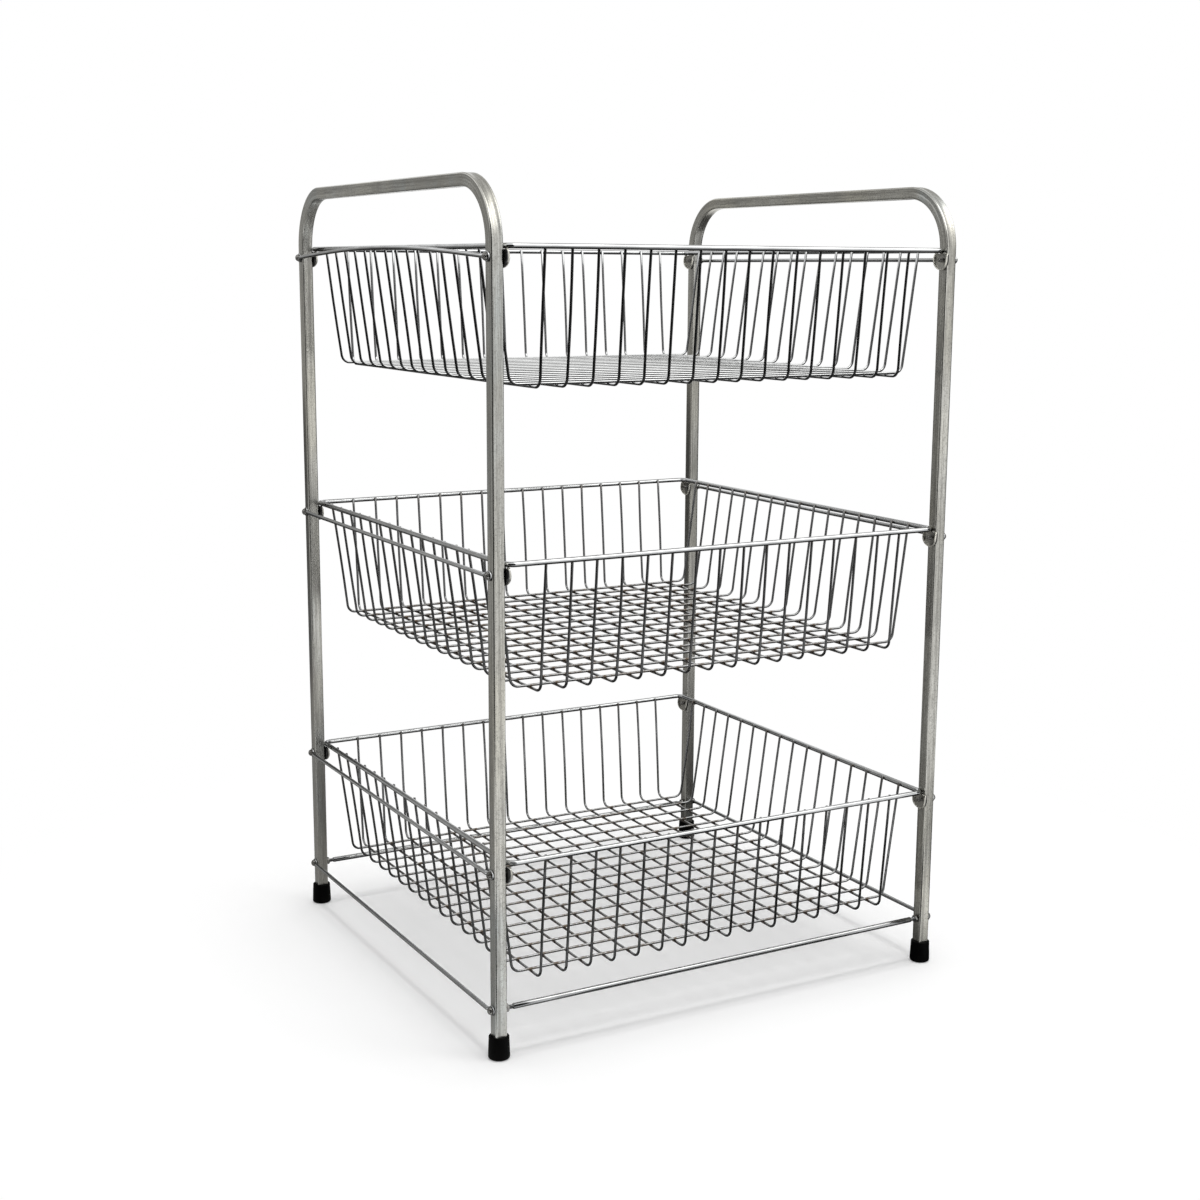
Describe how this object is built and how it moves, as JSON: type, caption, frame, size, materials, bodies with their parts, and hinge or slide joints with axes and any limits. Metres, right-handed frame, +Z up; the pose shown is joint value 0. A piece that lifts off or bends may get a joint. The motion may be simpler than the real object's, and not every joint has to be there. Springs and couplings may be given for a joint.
{
  "type": "tiered vegetable rack",
  "caption": "Free-standing storage rack: open welded-wire baskets stacked between two bent square-tube side frames whose tops are carrying handles.",
  "frame": {"origin": "on the floor, under the middle of the rack", "axes": "+Z up, +X to the rack's right, across the baskets from one side frame to the other, -Y to its front"},
  "size_m": [0.517, 0.4876, 0.8],
  "materials": {
    "satin_steel": "satin zinc-plated tube, fine grain along its length",
    "plated_wire": "bright drawn and plated wire",
    "bright_fastener": "polished plating",
    "black_rubber": "matt moulded rubber"
  },
  "bodies": {
    "root": {"side_frame_left": "satin_steel", "side_frame_right": "satin_steel", "foot_front_left": "black_rubber", "foot_front_right": "black_rubber", "foot_rear_left": "black_rubber", "foot_rear_right": "black_rubber", "basket_rim_lower": "plated_wire", "basket_wires_lower": "plated_wire", "basket_lug_lower_front_left": "plated_wire", "basket_lug_lower_front_right": "plated_wire", "basket_lug_lower_rear_left": "plated_wire", "basket_lug_lower_rear_right": "plated_wire", "basket_rim_middle": "plated_wire", "basket_wires_middle": "plated_wire", "basket_lug_middle_front_left": "plated_wire", "basket_lug_middle_front_right": "plated_wire", "basket_lug_middle_rear_left": "plated_wire", "basket_lug_middle_rear_right": "plated_wire", "basket_rim_top": "plated_wire", "basket_wires_top": "plated_wire", "basket_lug_top_front_left": "plated_wire", "basket_lug_top_front_right": "plated_wire", "basket_lug_top_rear_left": "plated_wire", "basket_lug_top_rear_right": "plated_wire", "side_rod_lower_left": "plated_wire", "side_rod_lower_right": "plated_wire", "side_rod_middle_left": "plated_wire", "side_rod_middle_right": "plated_wire", "side_rod_top_left": "plated_wire", "side_rod_top_right": "plated_wire", "side_bar_left": "plated_wire", "side_bar_right": "plated_wire", "tie_rod_front": "plated_wire", "tie_rod_rear": "plated_wire", "bolt_lower_front_left": "bright_fastener", "bolt_lower_front_right": "bright_fastener", "bolt_lower_rear_left": "bright_fastener", "bolt_lower_rear_right": "bright_fastener", "bolt_middle_front_left": "bright_fastener", "bolt_middle_front_right": "bright_fastener", "bolt_middle_rear_left": "bright_fastener", "bolt_middle_rear_right": "bright_fastener", "bolt_top_front_left": "bright_fastener", "bolt_top_front_right": "bright_fastener", "bolt_top_rear_left": "bright_fastener", "bolt_top_rear_right": "bright_fastener", "cap_nut_front_left": "bright_fastener", "cap_nut_front_right": "bright_fastener", "cap_nut_rear_left": "bright_fastener", "cap_nut_rear_right": "bright_fastener", "lock_nut_front_left": "bright_fastener", "lock_nut_front_right": "bright_fastener", "lock_nut_rear_left": "bright_fastener", "lock_nut_rear_right": "bright_fastener"}
  },
  "joints": []
}
